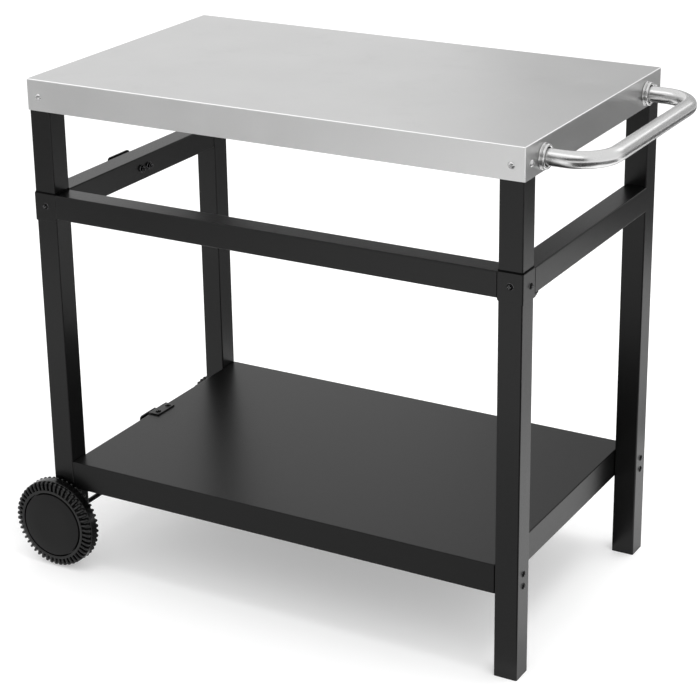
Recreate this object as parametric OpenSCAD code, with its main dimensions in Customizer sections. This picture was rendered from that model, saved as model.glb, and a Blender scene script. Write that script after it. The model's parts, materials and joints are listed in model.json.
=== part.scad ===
// Rolling grill table: a folded stainless worktop on a black tube frame,
// with a front rail and two side rails, a folded shelf, a push handle,
// two wheels on a common axle and two hooks for a gas bottle.
// X runs from the wheels to the handle, Y from front to back, Z up.
// The origin is under the middle of the whole table, on the floor.

/* [Worktop] */
// Length of the worktop, from left skirt to right skirt
top_length = 850; // [700:10:1000]
// Depth of the worktop, from front skirt to back skirt
top_depth = 500; // [460:10:600]
// Height of the worktop above the floor
table_height = 830; // [780:10:900]
// Height of the worktop's folded skirt
skirt_height = 50; // [48:1:60]
// Thickness of the worktop's sheet
top_sheet = 1; // [0.8:0.1:1.2]
// Outer radius of the worktop's folds
fold_radius = 1.8; // [1.4:0.1:1.8]
// Height of the hem that is folded up inside the skirts
hem_height = 8; // [5:1:10]

/* [Legs and rails] */
// Width of the square leg tubes and of the rail tubes
leg_width = 38; // [34:1:42]
// Wall of the leg and rail tubes
tube_wall = 1.5; // [1.2:0.1:1.7]
// Drop from the worktop down to the top of the rails
rail_drop = 185; // [150:5:220]
// Height of the rail tubes
rail_height = 40; // [36:1:46]
// Wall of the collars round the front legs
collar_wall = 1.5; // [1.2:0.1:2]
// How far the collars reach below the rails
collar_skirt = 5; // [3:1:8]
// Height above the floor at which the left legs end
left_leg_end = 50; // [40:1:56]

/* [Handle] */
// Outer diameter of the handle tube
handle_d = 25; // [22:1:26]
// Wall of the handle tube
handle_wall = 1.5; // [1.2:0.1:2]
// Clear space between the right legs and the handle's washers
handle_leg_gap = 10; // [2:1:40]
// Reach of the grip's centre line from the right skirt
handle_reach = 86; // [80:1:100]
// Radius of the handle's bends, at the centre line
handle_bend = 56; // [45:1:60]
// Outer diameter of the flanges at the handle's ends
flange_d = 39; // [36:1:40]

/* [Shelf] */
// Height of the shelf's surface above the floor
shelf_height = 185; // [170:5:260]
// Height of the shelf's folded skirt
shelf_skirt = 47; // [44:1:60]
// Thickness of the shelf's sheet
shelf_sheet = 1.2; // [1:0.1:1.5]

/* [Wheels] */
// Diameter of the wheels over the ribs of the tread
wheel_d = 152.4; // [140:0.1:160]
// Width of the wheels, without the hubcaps
wheel_width = 28.5; // [27:0.5:32]
// Distance of the axle from the worktop's left skirt
axle_x = 12; // [10:1:20]
// Diameter of the axle
axle_d = 8; // [7:0.5:9]
// Number of ribs in each of the tread's two rows
rib_count = 50; // [40:2:60]

/* [Gas bottle hooks] */
// Width of the hook on the left rail
upper_hook_width = 60; // [44:1:64]
// Width of the hook on the shelf
lower_hook_width = 50; // [44:1:60]
// Thickness of the hooks' plate
hook_plate = 2.5; // [2:0.1:3]
// Gap inside the hook on the left rail
upper_hook_gap = 12; // [11:1:16]
// Gap inside the hook on the shelf
lower_hook_gap = 17; // [12:1:20]

/* [Fasteners] */
// Diameter of the frame's bolts
bolt_d = 6; // [5:0.5:6]
// Diameter of the bolts' domed heads
bolt_head_d = 11; // [10:0.5:12]
// Height of the bolts' domed heads
bolt_head_h = 3.2; // [2.6:0.1:3.6]

/* [Hidden] */
$fn = 48;

// How far a cutter runs past the face that it cuts
past = 1;
// Gap between two pieces that turn against each other
running_gap = 0.3;
// Radial clearance of the wheels on the axle
axle_clearance = 0.1;
// Clearance on the diameter of a bolt's hole
hole_clearance = 0.6;

// Places in the plan: skirt faces, leg faces and leg centre lines
wheel_r = wheel_d / 2;
left_overhang = wheel_r - axle_x;
right_overhang = handle_reach + handle_d / 2;
left_x = (left_overhang - top_length - right_overhang) / 2;
right_x = left_x + top_length;
mid_x = (left_x + right_x) / 2;
front_y = -top_depth / 2;
leg_inset = 2 * top_sheet;
leg_left_x = left_x + leg_inset;
leg_right_x = right_x - leg_inset - leg_width;
leg_front_y = front_y + leg_inset;
leg_mid_y = leg_front_y + leg_width / 2;
axle_px = left_x + axle_x;

// Heights
top_under = table_height - top_sheet;
fixing_drop = 28;
fixing_z = table_height - fixing_drop;
rail_top = table_height - rail_drop;
rail_bottom = rail_top - rail_height;
rail_mid = (rail_top + rail_bottom) / 2;

// Tubes and what closes their ends
tube_radius = 2;
cap_flange = 2;
cap_plug = 16;
cap_wall = 2;
rail_plug_length = 18;

// Folded channels under the worktop and the shelf, and their distance from the middle
channel_width = 60;
channel_inner = 30;
channel_depth = 15;
channel_end_gap = 10;
top_channel_x = 170;
shelf_channel_x = 190;

// Threaded inserts in the legs: sleeve, outer flange and the bulge behind the tube's wall
insert_length = 10;
insert_wall = 1.5;
insert_flange_rim = 2.8;
insert_bulge_rim = 2.5;
insert_bulge = 2.5;
insert_d = bolt_d + 2 * insert_wall;
insert_flange_d = bolt_d + 2 * insert_flange_rim;
insert_bulge_d = bolt_d + 2 * insert_bulge_rim;

// Cross recess in the bolts' heads
recess_depth = 1.8;
recess_width = 1.2;
recess_length = 5.2;

// Flanged nuts
nut_height = 5;
nut_wall = 2;
nut_flange = 1.2;
nut_flange_rim = 1.25;
nut_width = bolt_d + 2 * nut_wall;
nut_flange_d = nut_width + 2 * nut_flange_rim;

// Bolts: what they hold in a threaded plug, what shows behind a nut, and their lengths
bolt_grip = 12;
bolt_tip = 1.5;
top_bolt_length = top_sheet + insert_length;
collar_bolt_length = collar_wall + insert_length;
shelf_bolt_length = leg_width + shelf_sheet + nut_height + bolt_tip;
side_bolt_length = leg_width + 2 * collar_wall + bolt_grip;
rear_bolt_length = leg_width + bolt_grip;

// The collar's side bolt runs behind and below the one on its front
side_bolt_back = 6;
side_bolt_drop = 4;
side_bolt_y = leg_mid_y + side_bolt_back;
side_bolt_z = rail_mid - side_bolt_drop;
collar_width = leg_width + 2 * collar_wall;
collar_tail = 12;
collar_chamfer = 4;

// Rails: their outer faces are flush with the collars
left_rail_x = leg_left_x - collar_wall;
right_rail_x = leg_right_x + collar_wall;
rail_front_y = leg_front_y - collar_wall;
front_rail_x = leg_left_x + leg_width + collar_wall;
front_rail_length = leg_right_x - collar_wall - front_rail_x;
side_rail_y = leg_front_y + leg_width + collar_wall;
side_rail_length = -leg_front_y - leg_width - side_rail_y;
left_rail_mid_x = left_rail_x + leg_width / 2;
right_rail_mid_x = right_rail_x + leg_width / 2;

// What clamps the handle to the skirt from inside
handle_bolt_d = 8;
handle_bolt_head = 5.3;
handle_bolt_width = 13;
handle_bolt_grip = 18;
handle_washer_d = 20;
handle_washer = 1.6;
handle_plug_length = 25;
handle_bolt_length = handle_washer + top_sheet + handle_bolt_grip;

// Handle: its arms stand beside the right legs, on the inside
arm_y = -leg_front_y - leg_width - handle_leg_gap - handle_washer_d / 2;
handle_arm = handle_reach - handle_bend;
handle_grip = 2 * (arm_y - handle_bend);

// Flanges of the handle: base ring, neck with a round bead, and the gap round the tube
flange_base = 2.6;
flange_neck = 6.2;
flange_neck_wall = 3.35;
flange_bead_r = 2.35;
flange_mouth = 1.4;

// Shelf: it fills the space between the legs
shelf_left = leg_left_x + leg_width;
shelf_right = leg_right_x;
shelf_length = shelf_right - shelf_left;
shelf_depth = -2 * leg_front_y;
shelf_under = shelf_height - shelf_sheet;
shelf_fold = 1.8;
shelf_hem = 5;
shelf_bolt_drop = 14;
shelf_bolt_pitch = 20;
shelf_bolt_drops = [shelf_bolt_drop, shelf_bolt_drop + shelf_bolt_pitch];

// What holds a wheel on the axle
axle_washer = 1;
axle_washer_d = 20;
axle_nut = 6;
axle_nut_width = 13;
axle_tip = 0.5;
axle_chamfer = 0.8;

// Wheel, measured outwards from the face beside the leg: hub, web and spokes
wheel_back_y = leg_front_y - axle_washer - running_gap;
hub_r = 13;
hub_length = 18;
web_thickness = 4;
web_back = hub_length - web_thickness;
spoke_count = 10;
spoke_thickness = 3;
spoke_inset = 4;

// Tread: two rows of ribs, a groove and a smooth band between them, and cut-off shoulders
rib_height = 2.6;
rib_arc = 0.52;
front_shoulder = 7;
back_shoulder = 5;
shoulder_step = 0.3;
shoulder_rise = 0.7;
band_start = 5.5;
band_end = 17.5;
band_groove = 1.2;
band_edge = 0.6;
rim_depth = 7;
rib_face_inset = 0.5;
rib_face = wheel_width - rib_face_inset;
core_face = rib_face - rib_height;
root_r = wheel_r - rib_height;
barrel_r = root_r - rim_depth;

// Smooth ring between the front ribs and the hubcap
ring_inset = 14.7;
ring_width = 5.2;
ring_edge = 0.8;
ring_outer_r = wheel_r - ring_inset;
ring_inner_r = ring_outer_r - ring_width;
ring_rise = wheel_width - web_back;

// Hubcap: a disc in a groove inside the ring, with a skirt that clips into the wheel
cap_groove = 1.4;
cap_skin = 2;
cap_edge = 1;
cap_proud = 0.5;
cap_ledge_inset = 2.5;
clip_inset = 4.3;
clip_wall = 3;
clip_start = 20;
cap_r = ring_inner_r - cap_groove;
cap_ledge = wheel_width - cap_ledge_inset;
cap_face = wheel_width + cap_proud;
clip_r = ring_inner_r - clip_inset;
axle_end = hub_length + running_gap + axle_washer + axle_nut + axle_tip;

// Hook on the left rail
hook_bolt_pitch = 21;
upper_hook_rise = 28;
upper_hook_drop = 13;
upper_lip_drop = 4;
upper_hook_z = rail_mid - upper_hook_drop;
upper_lip_rise = rail_top - upper_lip_drop - upper_hook_z;
upper_hook_bolt_length = hook_plate + leg_width + nut_height + bolt_tip;

// Hook on the shelf
lower_hook_drop = 26;
lower_lip_rise = 16;
lower_hook_reach = 18.5;
lower_bolt_x = 11;
lower_bolt_pitch = 29;
lip_radius = 6;
lower_hook_z = shelf_height - lower_hook_drop;
lower_hook_bolt_length = hook_plate + shelf_sheet + nut_height + bolt_tip;

// Rectangle with round corners, its lower left corner at the origin
module rounded_rect(w, h, r) {
    translate([r, 0]) square([w - 2 * r, h]);
    translate([0, r]) square([w, h - 2 * r]);
    for (x = [r, w - r], y = [r, h - r]) translate([x, y]) circle(r = r);
}

// Rectangle centred on x, its top edge at zero, with round top corners
module fold_profile(w, h, r) {
    translate([-w / 2, -h]) square([w, h - r]);
    translate([-w / 2 + r, -h]) square([w - 2 * r, h]);
    for (x = [r - w / 2, w / 2 - r]) translate([x, -r]) circle(r = r);
}

// Block with folded top edges, its top face at zero
module folded_block(length, depth, height, r) {
    intersection() {
        rotate([90, 0, 0]) linear_extrude(depth, center = true) fold_profile(length, height, r);
        rotate([90, 0, 90]) linear_extrude(length, center = true) fold_profile(depth, height, r);
        translate([-length / 2, -depth / 2, -height])
            linear_extrude(height) rounded_rect(length, depth, r);
    }
}

// Sheet pan with folded skirts and a hem, its top face at zero
module pan(length, depth, height, sheet, fold, hem) {
    difference() {
        folded_block(length, depth, height, fold);
        translate([0, 0, -sheet])
            folded_block(length - 2 * sheet, depth - 2 * sheet, height, fold - sheet);
    }
    translate([0, 0, -height]) linear_extrude(hem) difference() {
        square([length - 2 * sheet, depth - 2 * sheet], center = true);
        square([length - 4 * sheet, depth - 4 * sheet], center = true);
    }
}

// Folded channel along Y, hanging from zero, its flanges against the sheet
module stiffener(length, sheet) {
    rotate([90, 0, 0]) linear_extrude(length, center = true) difference() {
        union() {
            translate([-channel_width / 2, -sheet]) square([channel_width, sheet]);
            translate([-channel_inner / 2, -channel_depth]) square([channel_inner, channel_depth]);
        }
        translate([-channel_inner / 2 + sheet, -channel_depth + sheet])
            square([channel_inner - 2 * sheet, channel_depth]);
    }
}

// Square tube standing on the origin's corner
module tube_up(w, h, length) {
    inner = tube_radius - tube_wall;
    linear_extrude(length) difference() {
        rounded_rect(w, h, tube_radius);
        translate([tube_wall, tube_wall])
            rounded_rect(w - 2 * tube_wall, h - 2 * tube_wall, inner);
    }
}

// Straight holes along X and Y, centred on a point
module hole_x(p, d, length) {
    translate(p) rotate([0, 90, 0]) cylinder(d = d, h = length, center = true);
}
module hole_y(p, d, length) {
    translate(p) rotate([90, 0, 0]) cylinder(d = d, h = length, center = true);
}

// Turns a piece that points up so that it points out of one side
module facing(side) {
    turn = side == "front" ? [90, 0, 0] : side == "back" ? [-90, 0, 0]
        : side == "left" ? [0, -90, 0] : [0, 90, 0];
    rotate(turn) children();
}

// Bolt with a domed head and a cross recess, the head above zero
module bolt(length) {
    head_r = bolt_head_d / 2;
    dome_r = (head_r * head_r + bolt_head_h * bolt_head_h) / (2 * bolt_head_h);
    difference() {
        rotate_extrude() intersection() {
            translate([0, bolt_head_h - dome_r]) circle(r = dome_r);
            square([head_r, bolt_head_h]);
        }
        for (a = [0, 90]) rotate(a)
            translate([0, 0, bolt_head_h - recess_depth / 2 + past / 2])
                cube([recess_length, recess_width, recess_depth + past], center = true);
    }
    translate([0, 0, -length]) cylinder(d = bolt_d, h = length);
}

// Hexagon with a given width across its flats
module hexagon(width) {
    circle(d = width / cos(30), $fn = 6);
}

// Flanged nut, its flange on zero and its body above
module nut(width, height, flange_d, flange, bore) {
    difference() {
        union() {
            cylinder(d = flange_d, h = flange);
            linear_extrude(height) hexagon(width);
        }
        translate([0, 0, -past]) cylinder(d = bore, h = height + 2 * past);
    }
}

// Threaded insert set in a tube wall, its outer face at zero, with a flange above
module insert(flange) {
    difference() {
        union() {
            translate([0, 0, -insert_length]) cylinder(d = insert_d, h = insert_length + flange);
            translate([0, 0, -tube_wall - insert_bulge]) cylinder(d = insert_bulge_d, h = insert_bulge);
            if (flange > 0) cylinder(d = insert_flange_d, h = flange);
        }
        translate([0, 0, -insert_length - past])
            cylinder(d = bolt_d, h = insert_length + flange + 2 * past);
    }
}

// Cap for the lower end of a leg, its flange hanging below zero
module end_cap() {
    plug = leg_width - 2 * tube_wall;
    inner = tube_radius - tube_wall;
    translate([0, 0, -cap_flange]) linear_extrude(cap_flange)
        rounded_rect(leg_width, leg_width, tube_radius);
    translate([tube_wall, tube_wall, 0]) linear_extrude(cap_plug) difference() {
        rounded_rect(plug, plug, inner);
        translate([cap_wall, cap_wall]) square(plug - 2 * cap_wall);
    }
}

// Repeats a front piece at the back
module front_and_back() {
    children();
    mirror([0, 1, 0]) children();
}

// Puts one piece on the outer skirt at each leg: four on the front and back, four on the sides
module at_skirt_fixings(out) {
    for (x = [leg_left_x, leg_right_x]) front_and_back()
        translate([x + leg_width / 2, front_y + out, fixing_z]) facing("front") children();
    front_and_back() {
        translate([left_x + out, leg_mid_y, fixing_z]) facing("left") children();
        translate([right_x - out, leg_mid_y, fixing_z]) facing("right") children();
    }
}

module top_panel() {
    color("silver") difference() {
        translate([mid_x, 0, table_height])
            pan(top_length, top_depth, skirt_height, top_sheet, fold_radius, hem_height);
        at_skirt_fixings(0) cylinder(d = bolt_d + hole_clearance, h = 4 * top_sheet, center = true);
        for (y = [-arm_y, arm_y])
            hole_x([right_x, y, fixing_z], handle_bolt_d + hole_clearance, 4 * top_sheet);
    }
}

module top_stiffener(side) {
    color("silver") translate([mid_x + side * top_channel_x, 0, top_under])
        stiffener(top_depth - 2 * channel_end_gap, top_sheet);
}
module left_top_stiffener() { top_stiffener(-1); }
module right_top_stiffener() { top_stiffener(1); }

// A front leg's tube with the holes that every leg has, outer_face is -1 on the left
module leg(x, from_z, outer_face) {
    side_x = outer_face < 0 ? x : x + leg_width;
    difference() {
        translate([x, leg_front_y, from_z]) tube_up(leg_width, leg_width, top_under - from_z);
        hole_y([x + leg_width / 2, leg_front_y, fixing_z], insert_d, 4 * tube_wall);
        hole_x([side_x, leg_mid_y, fixing_z], insert_d, 4 * tube_wall);
        for (drop = shelf_bolt_drops)
            hole_x([x + leg_width / 2, leg_mid_y, shelf_height - drop],
                bolt_d + hole_clearance, leg_width + 2 * past);
    }
}

// The left legs also carry the axle
module left_leg() {
    difference() {
        leg(leg_left_x, left_leg_end, -1);
        hole_y([axle_px, leg_mid_y, wheel_r], axle_d, leg_width + 2 * past);
    }
}

module right_leg() {
    leg(leg_right_x, cap_flange, 1);
}

// Holes of a front leg for its collar's two bolts
module collar_holes(x) {
    hole_y([x + leg_width / 2, leg_front_y, rail_mid], insert_d, 4 * tube_wall);
    hole_x([x + leg_width / 2, side_bolt_y, side_bolt_z],
        bolt_d + hole_clearance, leg_width + 2 * past);
}

module front_left_leg() {
    color("#2b2b2b") difference() {
        left_leg();
        collar_holes(leg_left_x);
    }
}
module front_right_leg() {
    color("#2b2b2b") difference() {
        right_leg();
        collar_holes(leg_right_x);
    }
}
module back_left_leg() {
    color("#2b2b2b") difference() {
        mirror([0, 1, 0]) left_leg();
        hole_y([left_rail_mid_x, -leg_mid_y, rail_mid],
            bolt_d + hole_clearance, leg_width + 2 * past);
    }
}
module back_right_leg() {
    color("#2b2b2b") difference() {
        mirror([0, 1, 0]) right_leg();
        hole_y([right_rail_mid_x, -leg_mid_y, rail_mid],
            bolt_d + hole_clearance, leg_width + 2 * past);
    }
}

module top_bolts() {
    color("silver") at_skirt_fixings(0) bolt(top_bolt_length);
}
module top_inserts() {
    color("gray") at_skirt_fixings(leg_inset) insert(leg_inset - top_sheet);
}

// Front rail: its ends butt against the two collars
module front_rail() {
    color("#2b2b2b") translate([front_rail_x, rail_front_y, rail_bottom]) rotate([90, 0, 90])
        tube_up(leg_width, rail_height, front_rail_length);
}

// Side rail from a front collar to the face of a back leg
module side_rail(x) {
    translate([x + leg_width, side_rail_y, rail_bottom]) rotate([90, 0, 180])
        tube_up(leg_width, rail_height, side_rail_length);
}
module left_rail() {
    color("#2b2b2b") difference() {
        side_rail(left_rail_x);
        for (y = [-hook_bolt_pitch / 2, hook_bolt_pitch / 2])
            hole_x([left_rail_mid_x, y, rail_mid], bolt_d + hole_clearance, leg_width + 2 * past);
    }
}
module right_rail() {
    color("#2b2b2b") side_rail(right_rail_x);
}

// Sleeve round the left front leg, with a tail under the side rail
module collar() {
    bottom = rail_bottom - collar_skirt;
    height = rail_top - bottom;
    tail = [[-tube_radius, 0], [0, 0], [collar_tail, collar_skirt], [-tube_radius, collar_skirt]];
    corner = [[-collar_chamfer, 0], [0, collar_chamfer], [past, collar_chamfer], [past, -past],
        [-collar_chamfer, -past]];
    difference() {
        union() {
            translate([left_rail_x, rail_front_y, bottom]) linear_extrude(height) difference() {
                rounded_rect(collar_width, collar_width, tube_radius);
                translate([collar_wall, collar_wall]) rounded_rect(leg_width, leg_width, tube_radius);
            }
            translate([left_rail_x, side_rail_y, bottom]) rotate([90, 0, 90])
                linear_extrude(collar_wall) polygon(tail);
        }
        translate([left_rail_x + collar_width, rail_front_y + collar_width / 2, bottom])
            rotate([90, 0, 0]) linear_extrude(collar_width + 2 * past, center = true) polygon(corner);
        hole_y([leg_left_x + leg_width / 2, rail_front_y, rail_mid],
            bolt_d + hole_clearance, 4 * collar_wall);
        hole_x([leg_left_x + leg_width / 2, side_bolt_y, side_bolt_z],
            bolt_d + hole_clearance, collar_width + 2 * past);
    }
}

// Mirrors a piece about the middle of the worktop's length
module at_right() {
    translate([2 * mid_x, 0, 0]) mirror([1, 0, 0]) children();
}

module front_left_collar() {
    color("#2b2b2b") collar();
}
module front_right_collar() {
    color("#2b2b2b") at_right() collar();
}

// Repeats a left piece on the right
module left_and_right() {
    children();
    at_right() children();
}

module collar_front_bolts() {
    color("#202020") left_and_right() translate([leg_left_x + leg_width / 2, rail_front_y, rail_mid])
        facing("front") bolt(collar_bolt_length);
}
module collar_front_inserts() {
    color("gray") left_and_right()
        translate([leg_left_x + leg_width / 2, leg_front_y, rail_mid]) facing("front") insert(0);
}

// Long bolts from the collars' outer sides through the legs into the front rail
module collar_side_bolts() {
    color("#202020") left_and_right()
        translate([left_rail_x, side_bolt_y, side_bolt_z]) facing("left") bolt(side_bolt_length);
}

// Threaded block that fills a rail's end, along +Z, with its bore at the given place
module rail_plug(bore) {
    inner = tube_radius - tube_wall;
    difference() {
        translate([tube_wall, tube_wall, 0]) linear_extrude(rail_plug_length)
            rounded_rect(leg_width - 2 * tube_wall, rail_height - 2 * tube_wall, inner);
        translate([bore[0], bore[1], -past]) cylinder(d = bolt_d, h = rail_plug_length + 2 * past);
    }
}
module front_rail_plugs() {
    color("gray") left_and_right()
        translate([front_rail_x, rail_front_y, rail_bottom]) rotate([90, 0, 90])
            rail_plug([side_bolt_y - rail_front_y, side_bolt_z - rail_bottom]);
}

// Long bolts from behind the back legs into the side rails
module rear_rail_bolts() {
    color("#202020") for (x = [left_rail_mid_x, right_rail_mid_x])
        translate([x, -leg_front_y, rail_mid]) facing("back") bolt(rear_bolt_length);
}
module side_rail_plugs() {
    color("gray") for (x = [left_rail_x, right_rail_x])
        translate([x, side_rail_y + side_rail_length, rail_bottom]) rotate([90, 0, 0])
            rail_plug([leg_width / 2, rail_mid - rail_bottom]);
}

// Ring of the handle tube's section, drawn round the Y axis at a given radius
module handle_section(r) {
    translate([r, 0]) difference() {
        circle(d = handle_d);
        circle(d = handle_d - 2 * handle_wall);
    }
}
module handle_tube() {
    color("silver") translate([right_x, 0, fixing_z]) {
        for (side = [-1, 1]) {
            translate([0, side * arm_y, 0]) rotate([0, 90, 0])
                linear_extrude(handle_arm) handle_section(0);
            translate([handle_arm, side * handle_grip / 2, 0]) rotate([0, 0, side < 0 ? -90 : 0])
                rotate_extrude(angle = 90) handle_section(handle_bend);
        }
        translate([handle_reach, 0, 0]) rotate([90, 0, 0])
            linear_extrude(handle_grip, center = true) handle_section(0);
    }
}

// Flange: a base ring, a neck and a round bead with a dark gap round the tube
module handle_flange(y) {
    bore_r = handle_d / 2;
    rim_r = flange_d / 2 - flange_base / 2;
    mouth_r = bore_r + flange_mouth;
    color("silver") translate([right_x, y, fixing_z]) facing("right") rotate_extrude() {
        translate([bore_r, 0]) square([rim_r - bore_r, flange_base]);
        translate([rim_r, flange_base / 2]) circle(d = flange_base);
        translate([mouth_r, 0]) square([flange_neck_wall, flange_neck]);
        translate([mouth_r + flange_bead_r, flange_neck]) circle(r = flange_bead_r);
    }
}
module front_handle_flange() { handle_flange(-arm_y); }
module rear_handle_flange() { handle_flange(arm_y); }

module handle_end_plugs() {
    color("gray") for (y = [-arm_y, arm_y])
        translate([right_x, y, fixing_z]) facing("right") difference() {
            cylinder(d = handle_d - 2 * handle_wall, h = handle_plug_length);
            translate([0, 0, -past]) cylinder(d = handle_bolt_d, h = handle_plug_length + 2 * past);
        }
}
module handle_bolts() {
    color("gray") for (y = [-arm_y, arm_y])
        translate([right_x - top_sheet - handle_washer, y, fixing_z]) facing("right") {
            cylinder(d = handle_bolt_d, h = handle_bolt_length);
            translate([0, 0, -handle_bolt_head])
                linear_extrude(handle_bolt_head) hexagon(handle_bolt_width);
        }
}
module handle_washers() {
    color("gray") for (y = [-arm_y, arm_y])
        translate([right_x - top_sheet - handle_washer, y, fixing_z]) facing("right") difference() {
            cylinder(d = handle_washer_d, h = handle_washer);
            translate([0, 0, -past]) cylinder(d = handle_bolt_d, h = handle_washer + 2 * past);
        }
}

module shelf_panel() {
    color("#303030") difference() {
        translate([mid_x, 0, shelf_height])
            pan(shelf_length, shelf_depth, shelf_skirt, shelf_sheet, shelf_fold, shelf_hem);
        left_and_right() front_and_back() for (drop = shelf_bolt_drops)
            hole_x([shelf_left, leg_mid_y, shelf_height - drop],
                bolt_d + hole_clearance, 4 * shelf_sheet);
        for (y = [-lower_bolt_pitch / 2, lower_bolt_pitch / 2])
            translate([shelf_left + lower_bolt_x, y, shelf_under - past])
                cylinder(d = bolt_d + hole_clearance, h = shelf_sheet + 2 * past);
    }
}
module shelf_stiffener(side) {
    color("#303030") translate([mid_x + side * shelf_channel_x, 0, shelf_under])
        stiffener(shelf_depth - 2 * channel_end_gap, shelf_sheet);
}
module left_shelf_stiffener() { shelf_stiffener(-1); }
module right_shelf_stiffener() { shelf_stiffener(1); }

module shelf_bolts() {
    color("#202020") left_and_right() front_and_back() for (drop = shelf_bolt_drops)
        translate([leg_left_x, leg_mid_y, shelf_height - drop]) facing("left") bolt(shelf_bolt_length);
}
module shelf_nuts() {
    color("gray") left_and_right() front_and_back() for (drop = shelf_bolt_drops)
        translate([shelf_left + shelf_sheet, leg_mid_y, shelf_height - drop]) facing("right")
            nut(nut_width, nut_height, nut_flange_d, nut_flange, bolt_d);
}

module front_left_leg_cap() {
    color("#1c1c1c") translate([leg_left_x, leg_front_y, left_leg_end]) end_cap();
}
module back_left_leg_cap() {
    mirror([0, 1, 0]) front_left_leg_cap();
}
module front_right_foot() {
    color("#1c1c1c") translate([leg_right_x, leg_front_y, cap_flange]) end_cap();
}
module back_right_foot() {
    mirror([0, 1, 0]) front_right_foot();
}

// Puts a piece on the axle's line, its zero at the wheel's inner face, pointing forwards
module on_axle() {
    translate([axle_px, wheel_back_y, wheel_r]) facing("front") children();
}

module axle() {
    straight = axle_end - wheel_back_y - axle_chamfer;
    color("dimgray") translate([axle_px, 0, wheel_r]) facing("front") {
        cylinder(d = axle_d, h = 2 * straight, center = true);
        for (flip = [0, 180]) rotate([flip, 0, 0]) translate([0, 0, straight])
            cylinder(d1 = axle_d, d2 = axle_d - 2 * axle_chamfer, h = axle_chamfer);
    }
}
module washer() {
    difference() {
        cylinder(d = axle_washer_d, h = axle_washer);
        translate([0, 0, -past]) cylinder(d = axle_d, h = axle_washer + 2 * past);
    }
}
module axle_washers() {
    color("gray") front_and_back() on_axle() {
        translate([0, 0, -running_gap - axle_washer]) washer();
        translate([0, 0, hub_length + running_gap]) washer();
    }
}
module axle_nuts() {
    color("gray") front_and_back() on_axle()
        translate([0, 0, hub_length + running_gap + axle_washer])
            nut(axle_nut_width, axle_nut, axle_nut_width + 2 * nut_flange_rim, nut_flange, axle_d);
}

// Star of radial bars, one of them pointing down
module rib_star(inner_r, outer_r) {
    pitch = 360 / rib_count;
    half = pitch * rib_arc / 2;
    polygon([for (i = [0 : rib_count - 1]) let (a = i * pitch - 90)
        each [inner_r * [cos(a - half), sin(a - half)], outer_r * [cos(a - half), sin(a - half)],
            outer_r * [cos(a + half), sin(a + half)], inner_r * [cos(a + half), sin(a + half)]]]);
}

// Outline from an inner radius to the tread, its outer corner cut off in two steps
module shoulder(inner_r, outer_r, low, high, corner) {
    polygon([[inner_r, low], [outer_r, low], [outer_r, high - corner],
        [outer_r - corner * shoulder_step, high - corner * (1 - shoulder_rise)],
        [outer_r - corner, high], [inner_r, high]]);
}

// The two rows of ribs: the front row runs in over the shoulder to the rim ring
module rib_rows() {
    reach = wheel_r + past;
    front_start = band_end + band_groove;
    intersection() {
        translate([0, 0, front_start]) linear_extrude(rib_face - front_start + past)
            rib_star(ring_outer_r - past, reach);
        rotate_extrude() shoulder(ring_outer_r - past, wheel_r, band_start, rib_face, front_shoulder);
    }
    intersection() {
        linear_extrude(band_start + past) rib_star(barrel_r + past, reach);
        rotate_extrude() translate([0, band_end]) mirror([0, 1])
            shoulder(barrel_r + past, wheel_r, 0, band_end, back_shoulder);
    }
}

// Section of the wheel's body: hub, web, barrel, band, shoulder, rim ring and cap seat
module wheel_section() {
    bore_r = axle_d / 2 + axle_clearance;
    translate([bore_r, 0]) square([hub_r - bore_r, hub_length]);
    translate([bore_r, web_back]) square([barrel_r + past - bore_r, web_thickness]);
    translate([0, band_end]) mirror([0, 1])
        shoulder(barrel_r, root_r, 0, band_end, back_shoulder - rib_height / 2);
    polygon([[barrel_r, band_start], [wheel_r, band_start], [wheel_r, band_end - band_edge],
        [wheel_r - band_edge, band_end], [barrel_r, band_end]]);
    shoulder(ring_inner_r, root_r, web_back, core_face, front_shoulder - rib_height / 2);
    translate([ring_inner_r, web_back]) polygon([[0, 0], [ring_width, 0],
        [ring_width, ring_rise - ring_edge], [ring_width - ring_edge, ring_rise],
        [ring_edge, ring_rise], [0, ring_rise - ring_edge]]);
    translate([clip_r, web_back]) square([ring_inner_r - clip_r, cap_ledge - web_back]);
}
module wheel() {
    rotate_extrude() wheel_section();
    rib_rows();
    for (i = [0 : spoke_count - 1]) rotate(i * 360 / spoke_count)
        translate([hub_r - past, -spoke_thickness / 2, spoke_inset])
            cube([barrel_r - hub_r + 2 * past, spoke_thickness, web_back - spoke_inset + past]);
}
module front_wheel() {
    color("#232323") on_axle() wheel();
}
module back_wheel() {
    mirror([0, 1, 0]) front_wheel();
}

// Hubcap: a disc with a round edge and a ring that clips into the wheel
module hubcap() {
    edge_z = cap_face - cap_edge;
    clip_inner_r = clip_r - clip_wall;
    rotate_extrude() {
        translate([0, cap_face - cap_skin]) square([cap_r - cap_edge, cap_skin]);
        translate([cap_r - cap_edge, edge_z]) circle(r = cap_edge);
        translate([clip_inner_r, cap_ledge]) square([cap_r - clip_inner_r, edge_z - cap_ledge]);
        translate([clip_inner_r, clip_start]) square([clip_wall, edge_z - clip_start]);
    }
}
module front_hubcap() {
    color("#2d2d2d") on_axle() hubcap();
}
module back_hubcap() {
    mirror([0, 1, 0]) front_hubcap();
}

// Side view of a hook: a plate up the wall at zero, a round bottom and the start of the lip
module hook_profile(gap, rise) {
    bend_r = gap / 2 + hook_plate;
    translate([-hook_plate, 0]) square([hook_plate, rise]);
    translate([-bend_r, 0]) difference() {
        circle(r = bend_r);
        circle(r = gap / 2);
        translate([-bend_r - past, 0]) square(2 * (bend_r + past));
    }
}

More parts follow.
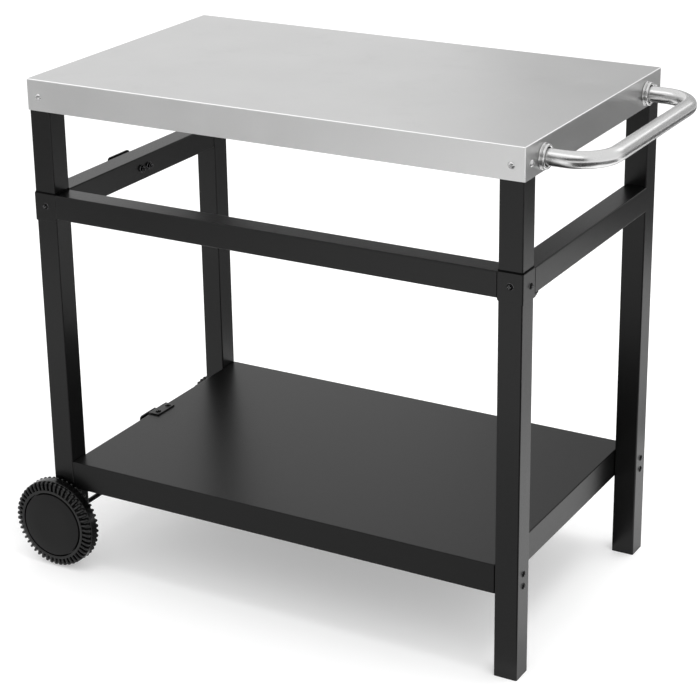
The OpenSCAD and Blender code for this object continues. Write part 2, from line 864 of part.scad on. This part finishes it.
// Plate with round top corners, standing on zero in the Y-Z plane
module hook_lip(width, height) {
    rotate([90, 0, 90]) linear_extrude(hook_plate) {
        translate([-width / 2, 0]) square([width, height - lip_radius]);
        translate([-width / 2 + lip_radius, 0]) square([width - 2 * lip_radius, height]);
        for (y = [-1, 1]) translate([y * (width / 2 - lip_radius), height - lip_radius])
            circle(r = lip_radius);
    }
}
module upper_tank_hook() {
    color("#262626") translate([left_rail_x, 0, upper_hook_z]) difference() {
        union() {
            rotate([90, 0, 0]) linear_extrude(upper_hook_width, center = true)
                hook_profile(upper_hook_gap, upper_hook_rise);
            translate([-upper_hook_gap - 2 * hook_plate, 0, 0])
                hook_lip(upper_hook_width, upper_lip_rise);
        }
        for (y = [-hook_bolt_pitch / 2, hook_bolt_pitch / 2])
            hole_x([0, y, rail_mid - upper_hook_z], bolt_d + hole_clearance, 4 * hook_plate);
    }
}
module upper_hook_bolts() {
    color("#202020") for (y = [-hook_bolt_pitch / 2, hook_bolt_pitch / 2])
        translate([left_rail_x - hook_plate, y, rail_mid]) facing("left") bolt(upper_hook_bolt_length);
}
module upper_hook_nuts() {
    color("#202020") for (y = [-hook_bolt_pitch / 2, hook_bolt_pitch / 2])
        translate([left_rail_x + leg_width, y, rail_mid]) facing("right")
            nut(nut_width, nut_height, nut_flange_d, nut_flange, bolt_d);
}

// Hook on the shelf: its plate lies on the shelf and folds down over the edge
module lower_tank_hook() {
    rise = shelf_height - lower_hook_z;
    color("#262626") translate([shelf_left, 0, lower_hook_z]) difference() {
        union() {
            rotate([90, 0, 0]) linear_extrude(lower_hook_width, center = true) {
                hook_profile(lower_hook_gap, rise);
                translate([0, rise]) intersection() {
                    circle(r = hook_plate);
                    translate([-hook_plate, 0]) square(hook_plate);
                }
            }
            translate([0, -lower_hook_width / 2, rise]) linear_extrude(hook_plate) {
                square([lower_hook_reach - tube_radius, lower_hook_width]);
                translate([0, tube_radius]) square([lower_hook_reach, lower_hook_width - 2 * tube_radius]);
                for (y = [tube_radius, lower_hook_width - tube_radius])
                    translate([lower_hook_reach - tube_radius, y]) circle(r = tube_radius);
            }
            translate([-lower_hook_gap - 2 * hook_plate, 0, 0])
                hook_lip(lower_hook_width, lower_lip_rise);
        }
        for (y = [-lower_bolt_pitch / 2, lower_bolt_pitch / 2])
            translate([lower_bolt_x, y, rise - past])
                cylinder(d = bolt_d + hole_clearance, h = hook_plate + 2 * past);
    }
}
module lower_hook_bolts() {
    color("#202020") for (y = [-lower_bolt_pitch / 2, lower_bolt_pitch / 2])
        translate([shelf_left + lower_bolt_x, y, shelf_height + hook_plate]) bolt(lower_hook_bolt_length);
}
module lower_hook_nuts() {
    color("gray") for (y = [-lower_bolt_pitch / 2, lower_bolt_pitch / 2])
        translate([shelf_left + lower_bolt_x, y, shelf_under]) mirror([0, 0, 1])
            nut(nut_width, nut_height, nut_flange_d, nut_flange, bolt_d);
}

top_panel();
left_top_stiffener();
right_top_stiffener();
front_left_leg();
back_left_leg();
front_right_leg();
back_right_leg();
top_bolts();
top_inserts();
front_rail();
left_rail();
right_rail();
front_left_collar();
front_right_collar();
collar_front_bolts();
collar_front_inserts();
collar_side_bolts();
front_rail_plugs();
rear_rail_bolts();
side_rail_plugs();
handle_tube();
front_handle_flange();
rear_handle_flange();
handle_end_plugs();
handle_bolts();
handle_washers();
shelf_panel();
left_shelf_stiffener();
right_shelf_stiffener();
shelf_bolts();
shelf_nuts();
front_left_leg_cap();
back_left_leg_cap();
front_right_foot();
back_right_foot();
axle();
axle_washers();
axle_nuts();
front_wheel();
back_wheel();
front_hubcap();
back_hubcap();
upper_tank_hook();
upper_hook_bolts();
upper_hook_nuts();
lower_tank_hook();
lower_hook_bolts();
lower_hook_nuts();
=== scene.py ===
"""Grill table: what it looks like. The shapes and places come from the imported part, in metres."""

import json
import math

import bmesh
import bpy
from mathutils import Matrix, Vector

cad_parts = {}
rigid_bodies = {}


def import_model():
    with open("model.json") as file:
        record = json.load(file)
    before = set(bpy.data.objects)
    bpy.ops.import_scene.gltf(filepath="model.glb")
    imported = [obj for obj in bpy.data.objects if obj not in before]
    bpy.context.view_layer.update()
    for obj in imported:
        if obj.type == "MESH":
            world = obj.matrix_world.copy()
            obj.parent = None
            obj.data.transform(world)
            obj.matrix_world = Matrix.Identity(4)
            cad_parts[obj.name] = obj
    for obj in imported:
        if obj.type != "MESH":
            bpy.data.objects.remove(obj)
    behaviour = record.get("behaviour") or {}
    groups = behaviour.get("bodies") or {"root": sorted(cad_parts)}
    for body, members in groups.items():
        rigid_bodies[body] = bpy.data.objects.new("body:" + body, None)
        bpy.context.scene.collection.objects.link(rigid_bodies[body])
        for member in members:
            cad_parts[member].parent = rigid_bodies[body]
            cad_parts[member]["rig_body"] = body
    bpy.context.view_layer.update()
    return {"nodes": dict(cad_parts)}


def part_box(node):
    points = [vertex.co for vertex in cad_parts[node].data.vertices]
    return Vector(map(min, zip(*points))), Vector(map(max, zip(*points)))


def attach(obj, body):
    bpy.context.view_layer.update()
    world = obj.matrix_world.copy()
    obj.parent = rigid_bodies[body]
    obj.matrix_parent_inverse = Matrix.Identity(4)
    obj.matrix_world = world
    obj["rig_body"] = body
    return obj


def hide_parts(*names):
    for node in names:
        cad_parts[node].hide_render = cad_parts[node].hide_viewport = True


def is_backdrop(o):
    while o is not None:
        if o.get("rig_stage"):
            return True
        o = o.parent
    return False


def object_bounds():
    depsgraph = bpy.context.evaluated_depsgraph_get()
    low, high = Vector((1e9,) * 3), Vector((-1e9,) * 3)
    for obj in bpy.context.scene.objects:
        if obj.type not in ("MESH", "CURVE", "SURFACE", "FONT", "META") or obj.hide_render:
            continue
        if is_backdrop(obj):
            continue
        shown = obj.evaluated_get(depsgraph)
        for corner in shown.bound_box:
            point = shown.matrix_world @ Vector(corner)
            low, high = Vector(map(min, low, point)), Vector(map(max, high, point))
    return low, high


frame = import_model()
NODES = frame["nodes"]


# Materials: procedural colour, roughness and bump from each piece's own coordinates, in metres
class Finish:
    """One material: a shader, and textures in metres that are linked to its sockets."""

    BEVEL_SAMPLES = 6

    def __init__(self, name, **sockets):
        self.material = bpy.data.materials.new(name)
        self.material.use_nodes = True
        self.nodes, self.links = self.material.node_tree.nodes, self.material.node_tree.links
        self.shader = self.nodes["Principled BSDF"]
        places = self.nodes.new("ShaderNodeTexCoord").outputs
        self.coords, self.facing = places["Object"], places["Normal"]
        for socket, value in sockets.items():
            self.shader.inputs[socket.replace("_", " ")].default_value = value

    def add(self, kind, inputs, **settings):
        """A node with its settings; each input is a value or a socket to link."""
        made = self.nodes.new(kind)
        for setting, value in settings.items():
            setattr(made, setting, value)
        for place, value in inputs.items():
            if isinstance(value, bpy.types.NodeSocket):
                self.links.new(value, made.inputs[place])
            else:
                made.inputs[place].default_value = value
        return made

    def noise(self, scale, stretch=(1, 1, 1), detail=4.0, roughness=0.55):
        """Grains of about 1/scale metres; stretch divides their size along each axis."""
        at = self.add("ShaderNodeMapping", {"Vector": self.coords, "Scale": stretch})
        return self.add(
            "ShaderNodeTexNoise",
            {"Vector": at.outputs[0], "Scale": scale, "Detail": detail, "Roughness": roughness},
        ).outputs["Fac"]

    def ramp(self, value, low, high, to_low, to_high):
        return self.add(
            "ShaderNodeMapRange",
            {
                "Value": value,
                "From Min": low,
                "From Max": high,
                "To Min": to_low,
                "To Max": to_high,
            },
        ).outputs["Result"]

    def reckon(self, operation, a, b):
        return self.add("ShaderNodeMath", {0: a, 1: b}, operation=operation).outputs[0]

    def mix(self, factor, a, b):
        """Colour a where the factor is 0, colour b where it is 1."""
        return self.add("ShaderNodeMix", {0: factor, 6: a, 7: b}, data_type="RGBA").outputs[2]

    def colour(self, socket):
        self.links.new(socket, self.shader.inputs["Base Color"])

    def rough(self, socket):
        self.links.new(socket, self.shader.inputs["Roughness"])

    def bevelled(self, radius):
        made = self.add("ShaderNodeBevel", {"Radius": radius}, samples=self.BEVEL_SAMPLES)
        return made.outputs[0]

    def bump(self, *layers, round_edges):
        """Relief over edges rounded by that radius; each layer is (height, its depth in metres)."""
        normal = self.bevelled(round_edges)
        for height, depth in layers:
            inputs = {"Height": height, "Strength": 1.0, "Distance": depth, "Normal": normal}
            normal = self.add("ShaderNodeBump", inputs).outputs["Normal"]
        self.links.new(normal, self.shader.inputs["Normal"])

    def edges(self, radius):
        """About 0 on flat faces, up to 1 where the surface turns within the radius."""
        plain = self.add("ShaderNodeNewGeometry", {}).outputs["Normal"]
        sides = {0: self.bevelled(radius), 1: plain}
        dot = self.add("ShaderNodeVectorMath", sides, operation="DOT_PRODUCT")
        return self.ramp(dot.outputs["Value"], 0.995, 0.85, 0.0, 1.0)

    def folds(self):
        """0 on faces that are square to the object, up to 1 on the folds between them."""
        sizes = self.add("ShaderNodeVectorMath", {0: self.facing}, operation="ABSOLUTE").outputs[0]
        x, y, z = self.add("ShaderNodeSeparateXYZ", {0: sizes}).outputs
        most = self.reckon("MAXIMUM", self.reckon("MAXIMUM", x, y), z)
        return self.ramp(most, 0.995, 0.88, 0.0, 1.0)


def grey(value, tint=(1, 1, 1)):
    return (value * tint[0], value * tint[1], value * tint[2], 1)


def brushed_steel(name, value, lines, roughness, line_depth, fold_value=None):
    """Stainless sheet or tube: fine brush lines, slow cloudiness, dull smears, painted fold
    highlights.
    """
    f = Finish(name, Metallic=1.0)
    fine = f.noise(900, lines, 3)
    broad = f.noise(140, lines, 2)
    cloud = f.noise(7, detail=3)
    smear = f.noise(22, detail=5, roughness=0.7)
    grain = f.noise(2600, detail=2)
    dark, light = grey(value * 0.9), grey(value * 1.07, (1, 1, 0.99))
    base = f.mix(f.ramp(fine, 0.3, 0.7, 0, 1), dark, light)
    base = f.mix(f.ramp(broad, 0.35, 0.65, 0, 0.35), base, grey(value * 0.95, (1, 1, 1.01)))
    base = f.mix(f.ramp(grain, 0.35, 0.7, 0, 0.25), base, grey(value * 0.8))
    # Painted highlight: the folds' base colour is made paler, standing in for light caught by the
    # bends.
    f.colour(f.mix(f.folds(), base, grey(fold_value)) if fold_value else base)
    slow = f.ramp(cloud, 0.3, 0.7, -0.03, 0.03)
    dull = f.ramp(smear, 0.55, 0.75, 0, 0.06)
    lined = f.ramp(fine, 0.3, 0.7, roughness - 0.03, roughness + 0.05)
    f.rough(f.reckon("ADD", f.reckon("ADD", slow, dull), lined))
    f.bump((fine, line_depth), (grain, line_depth * 0.6), round_edges=0.0006)
    return f.material


def powder_coat(name, value, roughness, peel, grain_scale, gloss):
    """Black powder coat: fine pebbled skin, edges paler (wear and painted highlight), a little
    dust.
    """
    f = Finish(name, Specular_IOR_Level=gloss)
    pebble = f.noise(grain_scale, detail=3)
    wave = f.noise(grain_scale / 9, detail=2)
    cloud = f.noise(9, detail=4)
    dust = f.noise(60, detail=6, roughness=0.7)
    edge = f.edges(radius=0.0012)
    dark, light = grey(value * 0.88), grey(value * 1.12, (1, 1, 1.02))
    base = f.mix(f.ramp(cloud, 0.3, 0.7, 0, 1), dark, light)
    base = f.mix(f.ramp(pebble, 0.5, 0.72, 0, 0.5), base, grey(value * 1.6))
    base = f.mix(f.ramp(dust, 0.58, 0.8, 0, 0.3), base, grey(value * 1.9, (1.03, 1, 0.96)))
    # Edges paler: part wear where the coat thins, part painted highlight of light caught on rounded
    # corners.
    f.colour(f.mix(f.ramp(edge, 0, 1, 0, 0.35), base, grey(value * 4)))
    worn = f.ramp(edge, 0, 1, 0, -0.08)
    spread = f.ramp(pebble, 0.3, 0.7, roughness - 0.05, roughness + 0.07)
    f.rough(f.reckon("ADD", worn, spread))
    f.bump((wave, peel), (pebble, peel * 0.5), round_edges=0.0007)
    return f.material


def moulded_plastic(name, value, roughness, grain, grain_depth, gloss):
    """Moulded black plastic: fine spark grain, faint flow marks, edges paler from polish and a
    painted highlight.
    """
    f = Finish(name, Specular_IOR_Level=gloss)
    spark = f.noise(grain, detail=4, roughness=0.65)
    flow = f.noise(30, (1, 1, 3), 3)
    scuff = f.noise(250, detail=6, roughness=0.75)
    edge = f.edges(radius=0.0008)
    dark, light = grey(value * 0.9), grey(value * 1.12, (1, 1, 1.02))
    base = f.mix(f.ramp(flow, 0.35, 0.65, 0, 1), dark, light)
    base = f.mix(f.ramp(scuff, 0.6, 0.78, 0, 0.4), base, grey(value * 1.8))
    # Edges paler: part polish, part painted highlight of light caught on the rounded edges.
    f.colour(f.mix(f.ramp(edge, 0, 1, 0, 0.3), base, grey(value * 2.0)))
    f.rough(f.ramp(spark, 0.3, 0.7, roughness - 0.07, roughness + 0.08))
    f.bump((spark, grain_depth), (flow, grain_depth * 2), round_edges=0.0004)
    return f.material


def small_metal(name, value, tint, roughness, worn, **sockets):
    """Bolts, nuts and washers: turned or plated metal with fine scratches and stains."""
    f = Finish(name, **sockets)
    scratch = f.noise(2400, (1, 1, 4), 3)
    stain = f.noise(220, detail=5, roughness=0.7)
    edge = f.edges(radius=0.0005)
    base = f.mix(f.ramp(stain, 0.4, 0.7, 0, 1), grey(value, tint), grey(value * 0.75, tint))
    base = f.mix(f.ramp(scratch, 0.5, 0.75, 0, 0.35), base, grey(value * 1.25, tint))
    # Rims paler: part wear, part painted glint; on the black bolts the pale rim is mostly a painted
    # glint.
    f.colour(f.mix(f.ramp(edge, 0, 1, 0, 0.4), base, grey(worn, tint)))
    f.rough(f.ramp(scratch, 0.3, 0.7, roughness - 0.05, roughness + 0.1))
    f.bump((scratch, 0.00002), (stain, 0.00003), round_edges=0.0003)
    return f.material


# Each finish by name: how it is made, and its values. Depths are in metres.
FINISHES = {
    name: finish(name, **values)
    for name, finish, values in (
        ("stainless_top", brushed_steel, dict(
            value=0.61, lines=(1, 14, 14), roughness=0.34, line_depth=0.000015, fold_value=0.93,
        )),
        ("stainless_handle", brushed_steel, dict(
            value=0.7, lines=(10, 1, 10), roughness=0.24, line_depth=0.00001,
        )),
        ("bright_bolts", small_metal, dict(
            value=0.62, tint=(1, 1, 1), roughness=0.22, worn=0.9, Metallic=1.0,
        )),
        ("zinc", small_metal, dict(
            value=0.5, tint=(0.97, 0.99, 1.03), roughness=0.38, worn=0.75, Metallic=1.0,
        )),
        ("black_frame", powder_coat, dict(
            value=0.0014, roughness=0.3, peel=0.00004, grain_scale=2300, gloss=0.3,
        )),
        ("black_shelf", powder_coat, dict(
            value=0.0015, roughness=0.31, peel=0.00005, grain_scale=1900, gloss=0.26,
        )),
        # The black bolts' pale rims are mostly a painted glint on their near-black domes.
        ("black_bolts", small_metal, dict(
            value=0.001, tint=(1, 1, 1.02), roughness=0.12, worn=0.9, Specular_IOR_Level=0.12,
        )),
        ("black_plastic", moulded_plastic, dict(
            value=0.002, roughness=0.4, grain=1500, grain_depth=0.00003, gloss=0.24,
        )),
        ("wheel_plastic", moulded_plastic, dict(
            value=0.0012, roughness=0.23, grain=1300, grain_depth=0.00004, gloss=0.42,
        )),
        # Near-black and hardly reflecting: the rings that paint shadow gaps in the joints.
        ("seal_rubber", moulded_plastic, dict(
            value=0.001, roughness=0.6, grain=1500, grain_depth=0.00003, gloss=0.05,
        )),
        ("hubcap_plastic", moulded_plastic, dict(
            value=0.002, roughness=0.36, grain=1700, grain_depth=0.00003, gloss=0.24,
        )),
    )
}
for obj in NODES.values():
    for slot in obj.material_slots:
        slot.material = FINISHES[slot.material.name.split(".")[0]]


# Meshes: what every piece and card of this scene is made with
SHARP_FROM = math.radians(35)


def linked(obj):
    bpy.context.scene.collection.objects.link(obj)
    return obj


def built(made, name, material):
    """The mesh as an object of the scene."""
    mesh = bpy.data.meshes.new(name)
    made.to_mesh(mesh)
    made.free()
    mesh.materials.append(material)
    return linked(bpy.data.objects.new(name, mesh))


def rounded(made, name, material):
    """The mesh as an object of the scene that looks smooth up to its sharp edges."""
    bmesh.ops.recalc_face_normals(made, faces=made.faces)
    obj = built(made, name, material)
    obj.data.shade_smooth()
    obj.data.set_sharp_from_angle(angle=SHARP_FROM)
    return obj


# Wheels and hubcaps: the frame's sizes, with rounded ribs and edges, in millimetres until built
BARREL_R, HUB_R, BORE_R = 66.6, 13.0, 4.1
RING_OUT, RING_IN, CAP_R, CLIP_R, CLIP_IN = 61.5, 56.8, 54.3, 52.0, 49.0
WHEEL_BACK = 249.3  # From the table's middle to the wheel's back, along the axle
RIBS, SPOKES, CAP_STEPS = 50, 10, 96
SPOKE_SINK = 1  # How far a spoke reaches into the hub and the barrel
BEND_STEPS = 3
BEND_SHARE = 0.49  # The most of a side that one rounded corner may take
MERGE_WITHIN = 1e-6
# Height of a rib at shares of the pitch from its middle
RIB_SHAPE = (
    (0, 1), (0.09, 0.98), (0.16, 0.91), (0.21, 0.78), (0.25, 0.58),
    (0.29, 0.34), (0.33, 0.14), (0.38, 0.03), (0.45, 0),
)


def outline(points, closed):
    """Turns (distance outwards, radius, rounding) into an outline with rounded corners."""
    made = []
    count = len(points)
    for i, (a, r, bend) in enumerate(points):
        corner = Vector((a, r))
        if bend == 0 or (not closed and i in (0, count - 1)):
            made.append(corner)
            continue
        ends = []
        for p in (points[i - 1], points[(i + 1) % count]):
            leg = Vector(p[:2]) - corner
            ends.append(corner + leg.normalized() * min(bend, leg.length * BEND_SHARE))
        for step in range(BEND_STEPS + 1):
            t = step / BEND_STEPS
            made.append(ends[0].lerp(corner, t).lerp(corner.lerp(ends[1], t), t))
    return made


def turned(name, node, material, sections, closed, plates=()):
    """A piece turned about the axle, with an outline for each angle, in place of that CAD node.

    A plate is a bar along a radius: (angle, from radius, to radius, its section)."""
    low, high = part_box(node)
    side = -1 if low.y < 0 else 1

    def place(a, x, z):
        return (
            (low.x + high.x) / 2 + x / 1000,
            side * (WHEEL_BACK + a) / 1000,
            (low.z + high.z) / 2 + z / 1000,
        )

    made = bmesh.new()
    rings = []
    for angle, section in sections:
        x, z = math.cos(angle), math.sin(angle)
        rings.append([made.verts.new(place(a, r * x, r * z)) for a, r in section])
    steps = len(rings[0])
    for k, here in enumerate(rings):
        there = rings[(k + 1) % len(rings)]
        for i in range(steps if closed else steps - 1):
            j = (i + 1) % steps
            made.faces.new((here[i], there[i], there[j], here[j]))
    bmesh.ops.remove_doubles(made, verts=made.verts, dist=MERGE_WITHIN)
    for angle, inner, outer, shape in plates:
        x, z = math.cos(angle), math.sin(angle)
        ends = [
            [made.verts.new(place(a, r * x - w * z, r * z + w * x)) for a, w in shape]
            for r in (inner, outer)
        ]
        made.faces.new(ends[0])
        made.faces.new(ends[1][::-1])
        for i in range(len(shape)):
            j = (i + 1) % len(shape)
            made.faces.new((ends[0][i], ends[1][i], ends[1][j], ends[0][j]))
    obj = rounded(made, name, FINISHES[material])
    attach(obj, NODES[node]["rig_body"])
    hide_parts(node)


# The tread in the valleys and over the ribs: the same corners in both, from back to front
valley = [
    (0, BARREL_R, 0.8), (0, 67.4, 0.4), (1.6, 70.5, 1), (3.9, 71.8, 1), (5.3, 71.8, 0.5),
    (5.5, 75, 0.4), (19.2, 75, 0.9), (19.6, 71.8, 0.3), (20.4, 71.5, 0.2),
    (21.0, 71.2, 0.5), (21.4, 70.8, 1), (22.6, 69.2, 1), (23.4, 65.5, 1), (23.4, 61.9, 0.6),
    (27.6, RING_OUT, 0),
]
crest = [
    (0, BARREL_R, 0.8), (0, 73.2, 1.6), (1.2, 75.9, 1.4), (3.6, 76.2, 1), (4.8, 76.0, 0.6),
    (5.4, 75, 0.2), (19.2, 75, 0.9), (19.6, 72.3, 0.3), (20.4, 72.1, 0.2),
    (20.9, 74.9, 0.8), (22.6, 75.4, 1.2), (26.4, 73.3, 1.4), (28, 68.8, 1.4), (28, 62.1, 0.5),
    (27.9, RING_OUT, 0),
]
# The rest of the wheel: ring, cap seat, web, hub and barrel
inside = [
    (28.5, RING_OUT, 1.1), (28.5, RING_IN, 1.1), (21, RING_IN, 0.3), (21, CLIP_R, 0.3),
    (18, CLIP_R, 0), (18, BORE_R, 0), (0, BORE_R, 0.4), (0, HUB_R, 0.8), (14, HUB_R, 1.5),
    (14, BARREL_R - 0.6, 1.5),
]
valley_line, crest_line = (outline(tread + inside, True) for tread in (valley, crest))
wheel_sections = []
for k in range(RIBS):
    for u, height in [(-u, h) for u, h in RIB_SHAPE[:0:-1]] + list(RIB_SHAPE):
        angle = 2 * math.pi * (k + u) / RIBS - math.pi / 2
        line = [v.lerp(c, height) for v, c in zip(valley_line, crest_line)]
        wheel_sections.append((angle, line))
spoke = [(15, -1.5), (5, -1.5), (4.3, -1.2), (4, -0.5), (4, 0.5), (4.3, 1.2), (5, 1.5), (15, 1.5)]
spokes = [
    (2 * math.pi * i / SPOKES, HUB_R - SPOKE_SINK, BARREL_R + SPOKE_SINK, spoke)
    for i in range(SPOKES)
]
cap = outline(
    [
        (29, 0, 0), (28.95, 30, 0), (28.8, CAP_R, 0.7), (21.5, CAP_R, 0.2), (21.5, CLIP_R, 0.2),
        (20, CLIP_R, 0.5), (20, CLIP_IN, 0.5), (27, CLIP_IN, 0.5), (27, 0, 0),
    ],
    False,
)
cap_sections = [(2 * math.pi * k / CAP_STEPS, cap) for k in range(CAP_STEPS)]
for end in ("front", "back"):
    wheel = end + "_wheel"
    turned(wheel + "_ribbed", wheel, "wheel_plastic", wheel_sections, True, spokes)
    turned(end + "_cap_crowned", end + "_hubcap", "hubcap_plastic", cap_sections, False)


# Painted shadow gaps: black rings in the joints of the frame and the handle, for the shade there,
# in metres
SHADOW_RING_BEND, CORNER_STEPS = 0.002, 4  # Rounding of a leg's corner
SHADOW_RING_IN, SHADOW_RING_OUT, TUBE_STEPS = 0.01255, 0.0141, 48  # Ring round the handle's tube
# Places round a collar's ring: (out from the leg, up from the collar)
COLLAR_RING = ((0.0001, -0.0005), (0.0011, 0), (0.0012, 0.0014), (0.0003, 0.0026))
# Places round a handle's ring: (out from the flange's face, radius)
HANDLE_RING = ((-0.0045, SHADOW_RING_IN), (-0.0018, SHADOW_RING_IN), (-0.0026, SHADOW_RING_OUT), (-0.0045, SHADOW_RING_OUT))


def hoop(name, node, loops):
    """A black ring that paints a shadow gap and rides with a node: closed loops of points, each
    joined to the next.
    """
    made = bmesh.new()
    rows = [[made.verts.new(at) for at in loop] for loop in loops]
    for k, here in enumerate(rows):
        there = rows[(k + 1) % len(rows)]
        for i in range(len(here)):
            j = (i + 1) % len(here)
            made.faces.new((here[i], here[j], there[j], there[i]))
    obj = rounded(made, name, FINISHES["seal_rubber"])
    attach(obj, NODES[node]["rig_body"])


# In the front collars: round the leg on each collar's top edge, as painted shade of the gap there
for leg in ("front_left_leg", "front_right_leg"):
    low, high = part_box(leg)
    collar_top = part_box(leg.replace("leg", "collar"))[1].z
    loops = []
    for out, up in COLLAR_RING:
        loop = []
        reach = SHADOW_RING_BEND + out
        for x, y, start in (
            (high.x, high.y, 0), (low.x, high.y, 90), (low.x, low.y, 180), (high.x, low.y, 270),
        ):
            mid_x = x - math.copysign(SHADOW_RING_BEND, x - (low.x + high.x) / 2)
            mid_y = y - math.copysign(SHADOW_RING_BEND, y - (low.y + high.y) / 2)
            for step in range(CORNER_STEPS + 1):
                turn = math.radians(start + 90 / CORNER_STEPS * step)
                loop.append((
                    mid_x + reach * math.cos(turn),
                    mid_y + reach * math.sin(turn),
                    collar_top + up,
                ))
        loops.append(loop)
    hoop(leg.replace("leg", "collar_seal"), leg, loops)

# In the handle's flanges: they fill the gap round the tube with painted shade, a little below the
# bead
for flange in ("front_handle_flange", "rear_handle_flange"):
    low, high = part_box(flange)
    mid_y, mid_z = (low.y + high.y) / 2, (low.z + high.z) / 2
    loops = []
    for out, r in HANDLE_RING:
        loops.append([
            (high.x + out, mid_y + r * math.cos(turn), mid_z + r * math.sin(turn))
            for turn in (2 * math.pi * k / TUBE_STEPS for k in range(TUBE_STEPS))
        ])
    hoop(flange.replace("flange", "seal"), flange, loops)


# Studio: a pale floor, a white world, two large soft lights, and cards for the reflections
CARD_HEIGHT = 0.01  # Of the cards that lie over the floor


def aimed(obj, at, aim, front):
    """Puts the object at a place, with that side of it towards its aim."""
    obj.location = at
    obj.rotation_mode = "QUATERNION"
    obj.rotation_quaternion = (Vector(aim) - Vector(at)).to_track_quat(front, "Y")


def sheet(name, at, aim, size, value, glow):
    """A flat piece of the studio, facing its aim. It isn't part of the object."""
    paper = Finish(name + "_paper", Roughness=0.9)
    paper.shader.inputs["Base Color"].default_value = grey(value)
    paper.shader.inputs["Emission Color"].default_value = grey(1)
    paper.shader.inputs["Emission Strength"].default_value = glow
    made = bmesh.new()
    bmesh.ops.create_grid(made, x_segments=1, y_segments=1, size=0.5)
    obj = built(made, name, paper.material)
    obj.scale = (size[0], size[1], 1)
    aimed(obj, at, aim, "Z")
    obj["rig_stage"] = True
    return obj


def card(name, at, aim, size, glow):
    """A card that only the reflections see, so it throws no shadow and hides nothing."""
    made = sheet(name, at, aim, size, 0, glow)
    made.visible_camera = made.visible_diffuse = made.visible_shadow = False


def area_light(name, at, aim, size, power):
    data = bpy.data.lights.new(name, "AREA")
    data.shape, data.size, data.size_y, data.energy = "RECTANGLE", size[0], size[1], power
    light = linked(bpy.data.objects.new(name, data))
    light.visible_glossy = False
    aimed(light, at, aim, "-Z")


sheet("floor", (0, 0, 0), (0, 0, 1), (40, 40), value=0.8, glow=0.3)
# The cards paint light and shade into the reflections: dim ones stand for shaded floor, bright ones
# for lit floor.
# Over the floor, facing up: name, place, size and glow
for name, x, y, size, glow in (
    ("card_far_left", -2.3, -2.8, (2.6, 2.6), 0.35),
    ("card_near_front", -0.32, -0.65, (1.46, 0.75), 0.8),
    ("card_near_right", 0.72, 0.22, (0.54, 0.84), 1.45),
    ("card_front_right", 1.42, -1.22, (1.98, 1.94), 0.05),
    ("card_right", 1.75, 0.3, (1.4, 1.05), 0.15),
    ("card_under", -0.03, 0.0, (0.8, 0.48), 0.1),
    ("card_behind", -0.17, 1.12, (1.5, 0.94), 0.36),
    ("card_far_back", 1.2, 2.6, (4.8, 2.0), 0.2),
):
    card(name, (x, y, CARD_HEIGHT), (x, y, 1), size, glow)
# These paint reflections too: the dim cards stand for dark studio, the bright ones for highlights.
# Round the table: name, place, aim, size and glow
card("card_wall", (1.1, 4.5, 1.4), (0.5, 0, 0.8), (6.4, 2.8), 0.5)
card("card_studio", (1.0, -4.8, 2.3), (0, 0, 0.8), (6.0, 3.0), 0.06)
card("card_top", (-0.5, -1.1, 3.0), (-0.1, 0, 0.5), (4.2, 0.8), 1.8)
card("card_skirt", (0.93, 0.86, 0.46), (0.41, -0.2, 0.8), (0.5, 0.34), 0.1)
card("card_rim", (1.5, 2.6, 2.4), (0.4, 0, 0.8), (1.2, 1.2), 1.7)

world = bpy.data.worlds.new("studio")
bpy.context.scene.world = world
world.use_nodes = True
world.node_tree.nodes["Background"].inputs["Color"].default_value = (1, 1, 1, 1)
world.node_tree.nodes["Background"].inputs["Strength"].default_value = 1.0

area_light("overhead", (0.6, 0.2, 3.1), (0, 0, 0.5), (2.0, 1.8), power=46)
area_light("front_right", (2.6, -2.2, 2.4), (0, 0, 0.4), (2.0, 2.0), power=14)
bpy.context.scene.view_settings.view_transform = "Standard"

# Camera at the photo's angle: its place, and how it is turned, tilted and rolled in degrees
CAMERA_AT = (1.5239, -2.6866, 1.6088)
TURN, TILT, ROLL = 29.758, 70.103, -0.836
LENS, SHIFT_Y = 105.33, -0.1

camera_data = bpy.data.cameras.new("camera")
camera_data.lens = LENS
camera_data.shift_y = SHIFT_Y
camera = linked(bpy.data.objects.new("camera", camera_data))
camera.matrix_world = (
    Matrix.Translation(CAMERA_AT)
    @ Matrix.Rotation(math.radians(TURN), 4, "Z")
    @ Matrix.Rotation(math.radians(TILT), 4, "X")
    @ Matrix.Rotation(math.radians(ROLL), 4, "Z")
)
bpy.context.scene.camera = camera

low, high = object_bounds()
